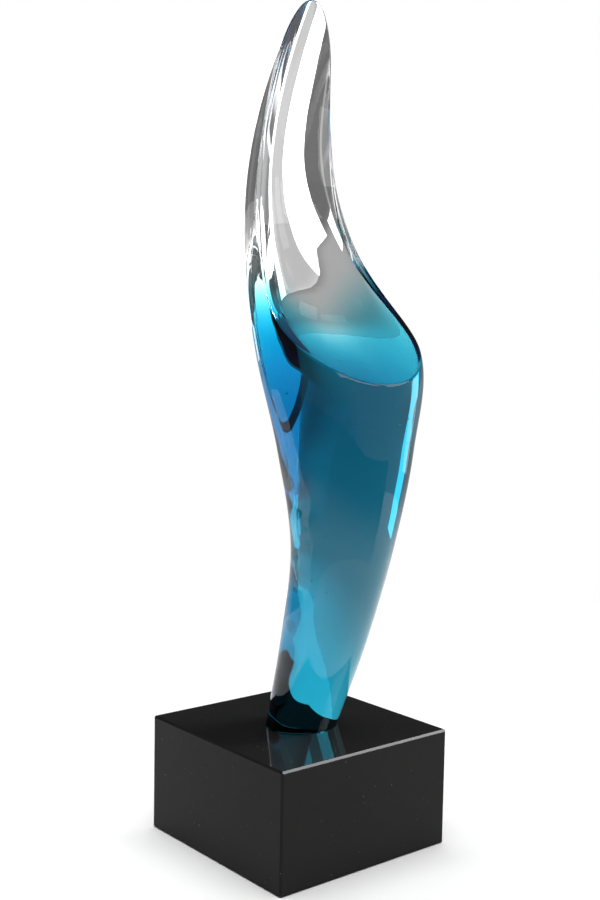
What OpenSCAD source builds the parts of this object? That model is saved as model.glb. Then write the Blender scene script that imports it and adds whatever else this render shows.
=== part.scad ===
// Crystal flame award: a clear hand-polished flame with a scooped front, bonded to a black glass block.
// Lengths are in millimetres. +Z is up and the scoop faces -Y.
// The origin is the middle of the block's underside, where it rests.

/* [Base block] */
// Side of the square block
block_w = 90; // [80:1:110]
// Height of the block
block_h = 50; // [20:1:80]
// Width of the small polished bevel on each edge of the block
block_bevel = 0.8; // [0.3:0.1:3]

/* [Bond] */
// Thickness of the clear adhesive film under the crystal
film_h = 0.3; // [0.1:0.1:1]
// How far the film stops short of the crystal's edge
film_inset = 0.5; // [0.2:0.1:2]

/* [Crystal] */
// Height of the top section, a little above the finished tip; the sections are evenly spread below it
sections_h = 320; // [260:5:360]
// Height at which the scoop's own sections begin, a little below the lip
scoop_from = 140; // [130:1:145]
// Flatness of a level section's front and back: 2 is an ellipse, more is flatter
flatness = 2.2; // [2:0.1:3]
// Sharpness of the ridges down the two sides: 2 is an ellipse, less is sharper
ridge_power = 1.6; // [1.4:0.1:2.4]
// Width of the polished round along the rim
rim_round = 0.8; // [0.4:0.1:1.2]
// Radius of the scoop's hollow from side to side
dish_radius = 140; // [100:5:400]

/* [Crystal sections, from the foot up] */
// Half width of each level section
half_widths = [17, 21, 23, 31, 40, 28, 20, 15, 8]; // each 6 to 50
// Half depth of each level section, before the scoop is ground away
half_depths = [14, 16, 20, 25, 26, 24, 22, 16, 9]; // each 6 to 30
// How far back the middle of each level section lies; - is towards the scooped side
middles = [-2, -16, -26, -27, -22, 1, 8, 0, -23]; // each -40 to 40
// How far back the scoop's middle line lies at its own sections, from below the lip up
scoop_line = [-62, -22, 0, 9, 8, 2, -5]; // each -100 to 20

/* [Fineness] */
// Facets around the crystal, in steps of 4 so that the lip and the tip each get a column
columns = 48; // [24:4:64]
// Facets from the foot to the rim
rows = 36; // [20:1:60]
// Facets across the scoop
scoop_cells = 10; // [4:1:20]
// Facets over the rim's polished round
rim_steps = 2; // [1:1:4]

/* [Hidden] */
foot_z = block_h + film_h;
half_columns = columns / 2;
column_points = rows + 1 + rim_steps;
scoop_points = scoop_cells - 1;
rim_search_steps = 20;

// One stretch of a smooth curve from b to c, with a before it and d after it; u runs from 0 to 1.
function stretch(u, a, b, c, d) =
    b + u / 2 * (c - a + u * (2 * a - 5 * b + 4 * c - d + u * (3 * b - 3 * c + d - a)));

// Value at height h of the curve through sections spread evenly between heights low and sections_h.
function along(sizes, h, low) =
    let (last = len(sizes) - 1,
         t = max(0, min(1, (h - low) / (sections_h - low))) * last,
         i = min(floor(t), last - 1),
         before = i == 0 ? 2 * sizes[0] - sizes[1] : sizes[i - 1],
         after = i == last - 1 ? 2 * sizes[last] - sizes[last - 1] : sizes[i + 2])
    stretch(t - i, before, sizes[i], sizes[i + 1], after);

// Distance on one axis of a squared-off ellipse of half size r, for the sine or cosine s of the turn.
function rounded(r, s, power) = r * sign(s) * pow(abs(s), 2 / power);

// Place on the body's outline at height h; the turn starts at the front and goes towards +X.
function outline(h, turn, inset = 0) =
    let (half_width = along(half_widths, h, 0),
         half_depth = along(half_depths, h, 0))
    [rounded(half_width - inset, sin(turn), flatness),
     along(middles, h, 0) - rounded(half_depth - inset, cos(turn), ridge_power)];

// Depth of the scoop's face at height h, x to the side of its middle line.
function scoop_y(h, x) = along(scoop_line, h, scoop_from) - pow(x, 2) / (2 * dish_radius);

// Height where the column at this turn comes within a gap of the scoop's face, found by halving the span.
function rim_height(turn, inset = 0, gap = 0, low = scoop_from, high = sections_h, steps = rim_search_steps) =
    let (middle = (low + high) / 2,
         place = outline(middle, turn, inset),
         solid = place.y > scoop_y(middle, place.x) + gap)
    steps == 0 ? middle
    : solid ? rim_height(turn, inset, gap, middle, high, steps - 1)
    : rim_height(turn, inset, gap, low, middle, steps - 1);

function wall_point(h, turn, inset = 0) = concat(outline(h, turn, inset), foot_z + h);

// One column of points: up the wall, then over the rim's round to the edge of the scoop.
function column(turn) =
    let (wall_top_h = rim_height(turn, gap = rim_round),
         wall_top = wall_point(wall_top_h, turn),
         corner = wall_point(rim_height(turn), turn),
         scoop_edge = wall_point(rim_height(turn, inset = rim_round), turn, rim_round))
    concat(
        [for (j = [0 : rows]) wall_point(wall_top_h * j / rows, turn)],
        [for (k = [1 : rim_steps])
            let (t = k / rim_steps)
            pow(1 - t, 2) * wall_top + 2 * t * (1 - t) * corner + pow(t, 2) * scoop_edge]);

module crystal_flame() {
    columns_of_points = [for (i = [0 : columns - 1]) column(360 * i / columns)];
    wall = [for (points = columns_of_points) each points];
    scoop = [for (i = [1 : half_columns - 1], k = [1 : scoop_points])
        let (edge = columns_of_points[i][column_points - 1],
             x = edge.x * (1 - 2 * k / scoop_cells))
        [x, scoop_y(edge.z - foot_z, x), edge.z]];

    function wall_id(i, j) = (i % columns) * column_points + j;
    // The scoop's lattice runs up from the lip and across from +X to -X, and shares its edge with the columns.
    function scoop_id(i, k) =
        i == 0 || i == half_columns || k == 0 ? wall_id(i, column_points - 1)
        : k == scoop_cells ? wall_id(columns - i, column_points - 1)
        : len(wall) + (i - 1) * scoop_points + k - 1;

    foot_face = [for (i = [0 : columns - 1]) wall_id(i, 0)];
    wall_faces = [for (i = [0 : columns - 1], j = [0 : column_points - 2], upper = [true, false])
        upper ? [wall_id(i, j), wall_id(i, j + 1), wall_id(i + 1, j + 1)]
        : [wall_id(i, j), wall_id(i + 1, j + 1), wall_id(i + 1, j)]];
    // A lattice cell at the lip or the tip is a single triangle.
    lower_scoop_faces = [for (i = [1 : half_columns - 1], k = [0 : scoop_cells - 1])
        [scoop_id(i, k), scoop_id(i, k + 1), scoop_id(i + 1, k)]];
    upper_scoop_faces = [for (i = [0 : half_columns - 2], k = [0 : scoop_cells - 1])
        [scoop_id(i, k + 1), scoop_id(i + 1, k + 1), scoop_id(i + 1, k)]];

    color([0.45, 0.8, 0.88, 0.6])
        polyhedron(
            points = concat(wall, scoop),
            faces = concat([foot_face], wall_faces, lower_scoop_faces, upper_scoop_faces));
}

module adhesive_film() {
    color([0.9, 0.95, 0.95, 0.6])
        translate([0, 0, block_h])
        linear_extrude(film_h)
        polygon([for (i = [0 : columns - 1]) outline(0, 360 * i / columns, film_inset)]);
}

module bevelled_rectangle(w, h) {
    x = w / 2;
    y = h / 2;
    b = block_bevel;
    polygon([
        [x - b, -y], [x, b - y], [x, y - b], [x - b, y],
        [b - x, y], [-x, y - b], [-x, b - y], [b - x, -y]]);
}

// Three crossed prisms, so that all twelve edges of the block get the same bevel.
module base_block() {
    color([0.1, 0.1, 0.1])
        translate([0, 0, block_h / 2])
        intersection() {
            linear_extrude(block_h, center = true) bevelled_rectangle(block_w, block_w);
            rotate([90, 0, 0]) linear_extrude(block_w, center = true) bevelled_rectangle(block_w, block_h);
            rotate([90, 0, 90]) linear_extrude(block_w, center = true) bevelled_rectangle(block_w, block_h);
        }
}

crystal_flame();
adhesive_film();
base_block();
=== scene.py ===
"""Looks for the crystal flame award: a scooped crystal flame bonded to a black glass block."""

from math import cos, pi, radians, sin, tan

import bmesh
import bpy
import numpy as np
from mathutils import Matrix, Vector


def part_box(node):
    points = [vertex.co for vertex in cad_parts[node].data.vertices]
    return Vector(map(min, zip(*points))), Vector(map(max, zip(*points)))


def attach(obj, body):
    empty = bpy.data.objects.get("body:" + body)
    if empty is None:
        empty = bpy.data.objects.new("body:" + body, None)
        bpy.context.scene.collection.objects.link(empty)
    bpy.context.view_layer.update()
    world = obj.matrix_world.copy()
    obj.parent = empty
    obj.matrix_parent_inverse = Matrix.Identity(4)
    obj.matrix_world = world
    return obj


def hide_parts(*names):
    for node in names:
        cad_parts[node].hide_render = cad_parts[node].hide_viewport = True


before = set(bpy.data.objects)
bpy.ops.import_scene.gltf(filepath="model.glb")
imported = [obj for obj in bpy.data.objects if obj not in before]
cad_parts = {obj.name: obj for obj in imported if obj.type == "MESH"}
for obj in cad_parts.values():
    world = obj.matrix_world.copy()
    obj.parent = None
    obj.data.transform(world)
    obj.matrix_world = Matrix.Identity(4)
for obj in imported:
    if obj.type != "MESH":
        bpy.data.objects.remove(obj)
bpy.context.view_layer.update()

MM = 0.001

# ---------------------------------------------------------------- the crystal's sections, as in the CAD
SECTIONS_H = 320 * MM
SCOOP_FROM = 140 * MM
FLATNESS = 2.2
RIDGE_POWER = 1.6
RIM_ROUND = 0.8 * MM
DISH_RADIUS = 140 * MM
HALF_WIDTHS = np.array([17, 21, 23, 31, 40, 28, 20, 15, 8]) * MM
HALF_DEPTHS = np.array([14, 16, 20, 25, 26, 24, 22, 16, 9]) * MM
MIDDLES = np.array([-2, -16, -26, -27, -22, 1, 8, 0, -23]) * MM
SCOOP_LINE = np.array([-62, -22, 0, 9, 8, 2, -5]) * MM

# ---------------------------------------------------------------- how finely the crystal is meshed
COLUMNS = 192
ROWS = 200
RIM_STEPS = 5
SCOOP_CELLS = 48
RIM_SEARCH_STEPS = 40
CREASE = radians(40)

# ---------------------------------------------------------------- the crystal's colour
# The level that sets the tint is the height, less TINT_CLIMB times the distance to the side, plus
# TINT_LEAN times the distance back. The tint is full below TINT_FULL_Z and gone above TINT_GONE_Z.
TINT_FULL_Z = 172 * MM
TINT_GONE_Z = 225 * MM
TINT_CLIMB = 1.1
TINT_LEAN = 0.4
# The share of light that gets through on the way in and out of the crystal together.
SURFACE_TINT = (0.25, 0.76, 0.86, 1)
# Each metre of depth absorbs the density times what DEPTH_TINT leaves short of white.
DEPTH_TINT = (0.0, 0.73, 0.83, 1)
DEPTH_TINT_DENSITY = 85.0
CRYSTAL_IOR = 1.5
CLEAR = (1, 1, 1, 1)
SMUDGE_SCALE = 45
WAVINESS_SCALE = 70
WAVINESS = 0.05 * MM
ADHESIVE_TINT = (0.93, 0.97, 0.98, 1)
FLOW_SCALE = 300

# ---------------------------------------------------------------- the black glass block
BLOCK_SPECULAR = 0.08
BLOCK_DARK = (0.011, 0.011, 0.011, 1)
BLOCK_LIGHT = (0.016, 0.016, 0.0155, 1)
DUST_COLOUR = (0.2, 0.2, 0.2, 1)
HAZE_SCALE = 28
DUST_SCALE = 1400
POLISH_SCALE = 90
POLISH_WAVINESS = 0.02 * MM
POLISH_STRENGTH = 0.3

# ---------------------------------------------------------------- small marks of hand work
RIPPLE = 0.8 * MM
RIPPLE_ENDS_H = 125 * MM
RIPPLE_FADES_IN = 12 * MM
RIPPLE_FADES_OUT = 30 * MM
RIPPLE_WAVES = (3.1 * MM, 5.3 * MM)
RIPPLE_NARROWNESS = 12
BUBBLES = 80
BUBBLE_SEED = 7
# The bubbles' heights and radii are in millimetres.
BUBBLE_LOW_H = 60
BUBBLE_HIGH_H = 145
BUBBLE_SMALLEST = 0.15
BUBBLE_LARGEST = 0.4
# How far out the bubbles lie, as shares of the body's half width and half depth.
BUBBLE_REACH = 0.75
BUBBLE_DEPTH_SHARE = 0.8

FOOT_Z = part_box("crystal_flame")[0].z


def along(sizes, h, low=0.0):
    """Value at height h of the smooth curve through evenly spread section sizes."""
    last = len(sizes) - 1
    ends = np.r_[2 * sizes[0] - sizes[1], sizes, 2 * sizes[-1] - sizes[-2]]
    t = np.clip((np.asarray(h, float) - low) / (SECTIONS_H - low), 0, 1) * last
    i = np.minimum(np.floor(t).astype(int), last - 1)
    u = t - i
    a, b, c, d = ends[i], ends[i + 1], ends[i + 2], ends[i + 3]
    return b + u / 2 * (c - a + u * (2 * a - 5 * b + 4 * c - d + u * (3 * b - 3 * c + d - a)))


def rounded(r, s, power):
    """Distance on one axis of a squared-off ellipse of half size r, for a sine or cosine s."""
    return r * np.sign(s) * np.abs(s) ** (2 / power)


def outline(h, turn, inset=0.0):
    """Place on the body at height h; the turn starts at the front and goes towards +X."""
    x = rounded(along(HALF_WIDTHS, h) - inset, np.sin(turn), FLATNESS)
    y = along(MIDDLES, h) - rounded(along(HALF_DEPTHS, h) - inset, np.cos(turn), RIDGE_POWER)
    return x, y


def scoop_y(h, x):
    """Depth of the scoop's face at height h, x to the side of its middle line."""
    return along(SCOOP_LINE, h, SCOOP_FROM) - x**2 / (2 * DISH_RADIUS)


def rim_height(turns, inset=0.0, gap=0.0):
    """Height where each column comes within a gap of the scoop's face, found by halving the span."""
    low = np.full(len(turns), SCOOP_FROM)
    high = np.full(len(turns), SECTIONS_H)
    for _ in range(RIM_SEARCH_STEPS):
        middle = (low + high) / 2
        x, y = outline(middle, turns, inset)
        solid = y > scoop_y(middle, x) + gap
        low = np.where(solid, middle, low)
        high = np.where(solid, high, middle)
    return (low + high) / 2


def wall_points(h, turns, inset=0.0):
    """Points on the body at height h above its foot."""
    x, y = outline(h, turns, inset)
    return np.stack([x, y, FOOT_Z + h], -1)


def ripple(h, turn):
    """Shallow hollows left by hand grinding down the two side ridges, below the lip."""
    fade = np.clip(h / RIPPLE_FADES_IN, 0, 1) * np.clip((RIPPLE_ENDS_H - h) / RIPPLE_FADES_OUT, 0, 1)
    short_wave, long_wave = RIPPLE_WAVES
    waves = 2 + np.sin(h / short_wave) + np.sin(h / long_wave + 1.0)
    return RIPPLE * waves / 2 * fade * np.abs(np.sin(turn)) ** RIPPLE_NARROWNESS


def bubble_shells():
    """Tiny seeded air bubbles in the body, as closed shells that face inwards."""
    random = np.random.default_rng(BUBBLE_SEED)
    points = []
    faces = []
    for _ in range(BUBBLES):
        h = random.uniform(BUBBLE_LOW_H, BUBBLE_HIGH_H) * MM
        reach = BUBBLE_REACH * np.sqrt(random.uniform(0, 1))
        turn = random.uniform(0, 2 * pi)
        middle = Vector((
            along(HALF_WIDTHS, h) * reach * sin(turn),
            along(MIDDLES, h) - along(HALF_DEPTHS, h) * BUBBLE_DEPTH_SHARE * reach * cos(turn),
            FOOT_Z + h))
        radius = random.uniform(BUBBLE_SMALLEST, BUBBLE_LARGEST) * MM
        ball = bmesh.new()
        bmesh.ops.create_icosphere(ball, subdivisions=2, radius=radius)
        first = len(points)
        points += [tuple(middle + v.co) for v in ball.verts]
        faces += [[first + v.index for v in reversed(f.verts)] for f in ball.faces]
        ball.free()
    return points, faces


def mesh_object(name, points, faces):
    mesh = bpy.data.meshes.new(name)
    mesh.from_pydata([tuple(p) for p in points], [], faces)
    mesh.update()
    made = bpy.data.objects.new(name, mesh)
    bpy.context.scene.collection.objects.link(made)
    return made


def crystal_mesh():
    """The flame's points and faces: columns up the wall and over the rim, then the scoop's lattice."""
    turns = np.arange(COLUMNS) * 2 * pi / COLUMNS
    wall_top_h = rim_height(turns, gap=RIM_ROUND)
    wall_top = wall_points(wall_top_h, turns)
    corner = wall_points(rim_height(turns), turns)
    scoop_edge = wall_points(rim_height(turns, inset=RIM_ROUND), turns, RIM_ROUND)

    heights = wall_top_h[:, None] * np.linspace(0, 1, ROWS + 1)[None, :]
    turned = np.repeat(turns[:, None], ROWS + 1, 1)
    wall = wall_points(heights, turned, ripple(heights, turned))
    t = (np.arange(1, RIM_STEPS + 1) / RIM_STEPS)[None, :, None]
    over = (1 - t) ** 2 * wall_top[:, None] + 2 * t * (1 - t) * corner[:, None] + t**2 * scoop_edge[:, None]
    columns = np.concatenate([wall, over], 1)
    column_points = columns.shape[1]
    outside = columns.reshape(-1, 3)

    half = COLUMNS // 2
    inner = SCOOP_CELLS - 1
    across = 1 - 2 * np.arange(1, SCOOP_CELLS) / SCOOP_CELLS
    x = scoop_edge[1:half, 0, None] * across[None, :]
    h = np.repeat(scoop_edge[1:half, 2, None] - FOOT_Z, inner, 1)
    scoop = np.stack([x, scoop_y(h, x), FOOT_Z + h], -1).reshape(-1, 3)

    def wall_id(i, j):
        return (i % COLUMNS) * column_points + j

    def scoop_id(i, k):
        if i in (0, half) or k == 0:
            return wall_id(i, column_points - 1)
        if k == SCOOP_CELLS:
            return wall_id(COLUMNS - i, column_points - 1)
        return len(outside) + (i - 1) * inner + k - 1

    faces = [[wall_id(i, 0) for i in reversed(range(COLUMNS))]]
    for i in range(COLUMNS):
        for j in range(column_points - 1):
            faces.append([wall_id(i, j), wall_id(i + 1, j), wall_id(i + 1, j + 1), wall_id(i, j + 1)])
    for i in range(half):
        for k in range(SCOOP_CELLS):
            cell = [scoop_id(i, k), scoop_id(i + 1, k), scoop_id(i + 1, k + 1), scoop_id(i, k + 1)]
            faces.append(list(dict.fromkeys(cell)))
    shell = np.concatenate([outside, scoop])
    bubble_points, bubble_faces = bubble_shells()
    faces += [[len(shell) + i for i in face] for face in bubble_faces]
    return np.concatenate([shell, bubble_points]), faces


def new_material(name):
    """A new material with its nodes, its links and its Principled shader."""
    material = bpy.data.materials.new(name)
    material.use_nodes = True
    nodes = material.node_tree.nodes
    return material, nodes, material.node_tree.links, nodes["Principled BSDF"]


def noise(nodes, links, scale, detail=2.0):
    """Noise fixed to the object, so that it stays put in every view."""
    place = nodes.new("ShaderNodeTexCoord")
    texture = nodes.new("ShaderNodeTexNoise")
    texture.inputs["Scale"].default_value = scale
    texture.inputs["Detail"].default_value = detail
    links.new(place.outputs["Object"], texture.inputs["Vector"])
    return texture.outputs["Fac"]


def ranged(nodes, links, value, from_low, from_high, to_low, to_high, smooth=False):
    """The value moved from one range to another and held at its ends."""
    change = nodes.new("ShaderNodeMapRange")
    if smooth:
        change.interpolation_type = "SMOOTHSTEP"
    change.inputs["From Min"].default_value = from_low
    change.inputs["From Max"].default_value = from_high
    change.inputs["To Min"].default_value = to_low
    change.inputs["To Max"].default_value = to_high
    links.new(value, change.inputs["Value"])
    return change.outputs["Result"]


def mixed_colour(nodes, links, factor, low, high):
    """A colour between low, at factor 0, and high, at factor 1."""
    mix = nodes.new("ShaderNodeMix")
    mix.data_type = "RGBA"
    mix.inputs["A"].default_value = low
    mix.inputs["B"].default_value = high
    links.new(factor, mix.inputs["Factor"])
    return mix.outputs["Result"]


def bumped(nodes, links, shader, height, distance, strength=1.0):
    """Gives the shader a bump up to this distance deep."""
    bump = nodes.new("ShaderNodeBump")
    bump.inputs["Distance"].default_value = distance
    bump.inputs["Strength"].default_value = strength
    links.new(height, bump.inputs["Height"])
    links.new(bump.outputs["Normal"], shader.inputs["Normal"])


def crystal_glass():
    """Aqua up to about the lip and clear above it; the colour climbs up the sides and the front."""
    material, nodes, links, shader = new_material("crystal_glass")
    shader.inputs["Transmission Weight"].default_value = 1.0
    shader.inputs["IOR"].default_value = CRYSTAL_IOR

    place = nodes.new("ShaderNodeTexCoord")
    split = nodes.new("ShaderNodeSeparateXYZ")
    links.new(place.outputs["Object"], split.inputs[0])
    aside = nodes.new("ShaderNodeMath")
    aside.operation = "ABSOLUTE"
    links.new(split.outputs["X"], aside.inputs[0])
    level = nodes.new("ShaderNodeMath")
    level.operation = "MULTIPLY_ADD"
    level.inputs[1].default_value = -TINT_CLIMB
    links.new(aside.outputs[0], level.inputs[0])
    leaned = nodes.new("ShaderNodeMath")
    leaned.operation = "MULTIPLY_ADD"
    leaned.inputs[1].default_value = TINT_LEAN
    links.new(split.outputs["Y"], leaned.inputs[0])
    links.new(split.outputs["Z"], leaned.inputs[2])
    links.new(leaned.outputs[0], level.inputs[2])

    clear = ranged(nodes, links, level.outputs[0], TINT_FULL_Z, TINT_GONE_Z, 0, 1, smooth=True)
    links.new(mixed_colour(nodes, links, clear, SURFACE_TINT, CLEAR), shader.inputs["Base Color"])
    depth = nodes.new("ShaderNodeVolumeAbsorption")
    depth.inputs["Color"].default_value = DEPTH_TINT
    links.new(ranged(nodes, links, clear, 0, 1, DEPTH_TINT_DENSITY, 0), depth.inputs["Density"])
    links.new(depth.outputs[0], nodes["Material Output"].inputs["Volume"])

    smudges = noise(nodes, links, SMUDGE_SCALE)
    links.new(ranged(nodes, links, smudges, 0.45, 0.75, 0.0, 0.05), shader.inputs["Roughness"])
    bumped(nodes, links, shader, noise(nodes, links, WAVINESS_SCALE), WAVINESS)
    return material


def clear_adhesive():
    """Cured glue: clear, with faint flow marks."""
    material, nodes, links, shader = new_material("cured_adhesive")
    shader.inputs["Transmission Weight"].default_value = 1.0
    shader.inputs["IOR"].default_value = CRYSTAL_IOR
    flow = noise(nodes, links, FLOW_SCALE)
    tint = mixed_colour(nodes, links, flow, ADHESIVE_TINT, CLEAR)
    links.new(tint, shader.inputs["Base Color"])
    links.new(ranged(nodes, links, flow, 0.3, 0.7, 0.0, 0.08), shader.inputs["Roughness"])
    return material


def black_glass():
    """Polished opaque black glass with faint haze and a few specks of dust."""
    material, nodes, links, shader = new_material("black_glass")
    shader.inputs["Specular IOR Level"].default_value = BLOCK_SPECULAR
    haze = noise(nodes, links, HAZE_SCALE, 6)
    dust = noise(nodes, links, DUST_SCALE, 0)
    speck = ranged(nodes, links, dust, 0.85, 0.88, 0, 1)
    haze_colour = mixed_colour(nodes, links, haze, BLOCK_DARK, BLOCK_LIGHT)
    dusty = nodes.new("ShaderNodeMix")
    dusty.data_type = "RGBA"
    dusty.inputs["B"].default_value = DUST_COLOUR
    links.new(speck, dusty.inputs["Factor"])
    links.new(haze_colour, dusty.inputs["A"])
    links.new(dusty.outputs["Result"], shader.inputs["Base Color"])
    links.new(ranged(nodes, links, haze, 0.3, 0.7, 0.015, 0.06), shader.inputs["Roughness"])
    bumped(nodes, links, shader, noise(nodes, links, POLISH_SCALE), POLISH_WAVINESS, POLISH_STRENGTH)
    return material


def studio_floor():
    """Plain matt white paint."""
    material, _, _, shader = new_material("floor_paint")
    shader.inputs["Base Color"].default_value = TABLE_COLOUR
    shader.inputs["Roughness"].default_value = 1.0
    shader.inputs["Specular IOR Level"].default_value = 0.0
    return material


crystal = mesh_object("crystal", *crystal_mesh())
crystal.data.shade_smooth()
crystal.data.set_sharp_from_angle(angle=CREASE)
crystal.data.materials.append(crystal_glass())
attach(crystal, "root")
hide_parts("crystal_flame")

for node, material in (("base_block", black_glass()), ("adhesive_film", clear_adhesive())):
    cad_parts[node].data.materials.clear()
    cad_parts[node].data.materials.append(material)

# ---------------------------------------------------------------- stage and light
# An azimuth of 0 is in front of the award, at -Y, and 90 is on its right, at +X.
TABLE_RADIUS = 0.55
TABLE_SIDES = 96
TABLE_COLOUR = (0.9, 0.9, 0.9, 1)
# The room fades out between these elevations, and to the left between these shares of the way to +X.
ROOM_BRIGHT_BELOW = radians(8)
ROOM_DIM_ABOVE = radians(22)
ROOM_LEFT = -0.35
ROOM_RIGHT = 0.25
ROOM_LEFT_SHARE = 0.25


def at(azimuth, distance, z):
    """Place at height z, this far from the award's upright axis."""
    return distance * sin(radians(azimuth)), -distance * cos(radians(azimuth)), z


table = mesh_object(
    "floor",
    [at(-i * 360 / TABLE_SIDES, TABLE_RADIUS, 0) for i in range(TABLE_SIDES)],
    [tuple(reversed(range(TABLE_SIDES)))])
table.data.materials.append(studio_floor())


def lights_only(holder, *receivers):
    """Lets a lamp or card light only these objects, as flags do in a studio."""
    group = bpy.data.collections.new(holder.name + "_lights")
    for receiver in receivers:
        group.objects.link(receiver)
    holder.light_linking.receiver_collection = group


def sun(name, energy, spread, *receivers):
    """A soft light from straight above on these objects only."""
    lamp = bpy.data.lights.new(name, "SUN")
    lamp.energy = energy
    lamp.angle = radians(spread)
    holder = bpy.data.objects.new(name, lamp)
    bpy.context.scene.collection.objects.link(holder)
    lights_only(holder, *receivers)


def panel(name, azimuth, spread, low_z, high_z, glow, distance=0.4):
    """An upright soft panel close to the award that lights only the crystal and its bond."""
    lamp = bpy.data.lights.new(name, "AREA")
    lamp.shape = "RECTANGLE"
    lamp.size = 2 * distance * tan(radians(spread / 2))
    lamp.size_y = high_z - low_z
    lamp.energy = glow * pi * lamp.size * lamp.size_y
    holder = bpy.data.objects.new(name, lamp)
    holder.location = at(azimuth, distance, (low_z + high_z) / 2)
    holder.rotation_euler = (-Vector(at(azimuth, 1, 0))).to_track_quat("-Z", "Y").to_euler()
    holder.visible_camera = False
    bpy.context.scene.collection.objects.link(holder)
    lights_only(holder, crystal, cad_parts["adhesive_film"])


def small_lamp(name, place, size, glow, *receivers):
    """A small square lamp that faces the middle of the table."""
    lamp = bpy.data.lights.new(name, "AREA")
    lamp.size = size
    lamp.energy = glow * pi * size**2
    holder = bpy.data.objects.new(name, lamp)
    holder.location = place
    holder.rotation_euler = Vector(place).to_track_quat("Z", "Y").to_euler()
    holder.visible_camera = False
    bpy.context.scene.collection.objects.link(holder)
    lights_only(holder, *receivers)


def graded_card(name, first, last, stops, distance=0.45, sides=24):
    """A bent card whose glow changes with height; the crystal shows it instead of the room behind."""
    low_z, high_z = stops[0][0], stops[-1][0]
    turns = [first + (last - first) * i / sides for i in range(sides + 1)]
    points = [at(turn, distance, z) for turn in turns for z in (low_z, high_z)]
    card = mesh_object(name, points, [(2 * i, 2 * i + 2, 2 * i + 3, 2 * i + 1) for i in range(sides)])
    material = bpy.data.materials.new(name)
    material.use_nodes = True
    nodes = material.node_tree.nodes
    links = material.node_tree.links
    place = nodes.new("ShaderNodeTexCoord")
    split = nodes.new("ShaderNodeSeparateXYZ")
    links.new(place.outputs["Object"], split.inputs[0])
    ramp = nodes.new("ShaderNodeValToRGB")
    ramp.color_ramp.interpolation = "EASE"
    for z, _ in stops[1:-1]:
        ramp.color_ramp.elements.new((z - low_z) / (high_z - low_z))
    for stop, (_, glow) in zip(ramp.color_ramp.elements, stops):
        stop.color = (glow, glow, glow, 1)
    links.new(ranged(nodes, links, split.outputs["Z"], low_z, high_z, 0, 1), ramp.inputs["Fac"])
    glowing = nodes.new("ShaderNodeEmission")
    links.new(ramp.outputs["Color"], glowing.inputs["Color"])
    links.new(glowing.outputs[0], nodes["Material Output"].inputs["Surface"])
    card.data.materials.append(material)
    card.visible_camera = False
    card.visible_shadow = False
    card.visible_diffuse = False
    lights_only(card, crystal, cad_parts["adhesive_film"])


def room(dark, low_glow):
    """A dim room, brighter low down and to the right; the camera sees it white."""
    world = bpy.data.worlds.new("room")
    world.use_nodes = True
    bpy.context.scene.world = world
    nodes = world.node_tree.nodes
    links = world.node_tree.links
    direction = nodes.new("ShaderNodeTexCoord")
    split = nodes.new("ShaderNodeSeparateXYZ")
    links.new(direction.outputs["Generated"], split.inputs[0])
    dim_z = sin(ROOM_DIM_ABOVE)
    bright_z = sin(ROOM_BRIGHT_BELOW)
    low = ranged(nodes, links, split.outputs["Z"], dim_z, bright_z, 0, 1, smooth=True)
    right = ranged(nodes, links, split.outputs["X"], ROOM_LEFT, ROOM_RIGHT, ROOM_LEFT_SHARE, 1, smooth=True)
    both = nodes.new("ShaderNodeMath")
    both.operation = "MULTIPLY"
    links.new(low, both.inputs[0])
    links.new(right, both.inputs[1])
    dim = (dark, dark, dark, 1)
    bright = (low_glow, low_glow, low_glow, 1)
    grays = mixed_colour(nodes, links, both.outputs[0], dim, bright)
    path = nodes.new("ShaderNodeLightPath")
    seen = nodes.new("ShaderNodeMix")
    seen.data_type = "RGBA"
    seen.inputs["B"].default_value = CLEAR
    links.new(path.outputs["Is Camera Ray"], seen.inputs["Factor"])
    links.new(grays, seen.inputs["A"])
    links.new(seen.outputs["Result"], nodes["Background"].inputs["Color"])


room(0.10, 0.40)
sun("table_sun", 3.7, 60, table)
sun("block_sun", 3.0, 60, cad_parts["base_block"])
graded_card("back_card", 85, 205, ((0, 0.85), (0.10, 0.42), (0.19, 0.42), (0.235, 0.15), (0.75, 0.15)))
panel("back_thin", 133, 10, 0.215, 0.6, 2.5)
panel("back_gap", 144, 12, 0.215, 0.6, 0.4)
panel("back_wide", 157, 14, 0.215, 0.6, 2.5)
panel("back_dim", 187, 12, 0.22, 0.6, 0.3)
panel("back_low", 176, 12, 0.165, 0.225, 2.2)
panel("right_high", 52, 28, 0.27, 0.5, 2.0)
panel("right_side", 80, 18, 0.09, 0.24, 1.2)
panel("front_high", 10, 44, 0.29, 0.42, 2.2)
graded_card("front_card", -95, 35, ((0, 0.9), (0.09, 0.12), (0.14, 0.10)), distance=0.22)

# One lamp draws the white line along the lip, the other the one along the block's front edge.
small_lamp("lip_lamp", (0, 0, 1.1), 0.3, 40, crystal)
small_lamp("edge_lamp", at(61, 0.74, 0.74), 0.3, 30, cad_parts["base_block"])

# ---------------------------------------------------------------- camera
target = Vector((0, 2.4, 168)) * MM
azimuth = radians(-39.6)
elevation = radians(5.14)
roll = radians(1.06)
distance = 531.8 * MM
away = Vector((sin(azimuth) * cos(elevation), -cos(azimuth) * cos(elevation), sin(elevation)))
camera_data = bpy.data.cameras.new("camera")
camera_data.lens = 50
camera_data.sensor_width = 36
camera = bpy.data.objects.new("camera", camera_data)
upright = away.to_track_quat("Z", "Y").to_matrix().to_4x4()
camera.matrix_world = Matrix.Translation(target + away * distance) @ upright @ Matrix.Rotation(roll, 4, "Z")
bpy.context.scene.collection.objects.link(camera)
bpy.context.scene.camera = camera

scene = bpy.context.scene
scene.view_settings.view_transform = "Standard"
scene.cycles.max_bounces = 24
scene.cycles.transmission_bounces = 24
scene.cycles.glossy_bounces = 12
scene.cycles.use_denoising = True
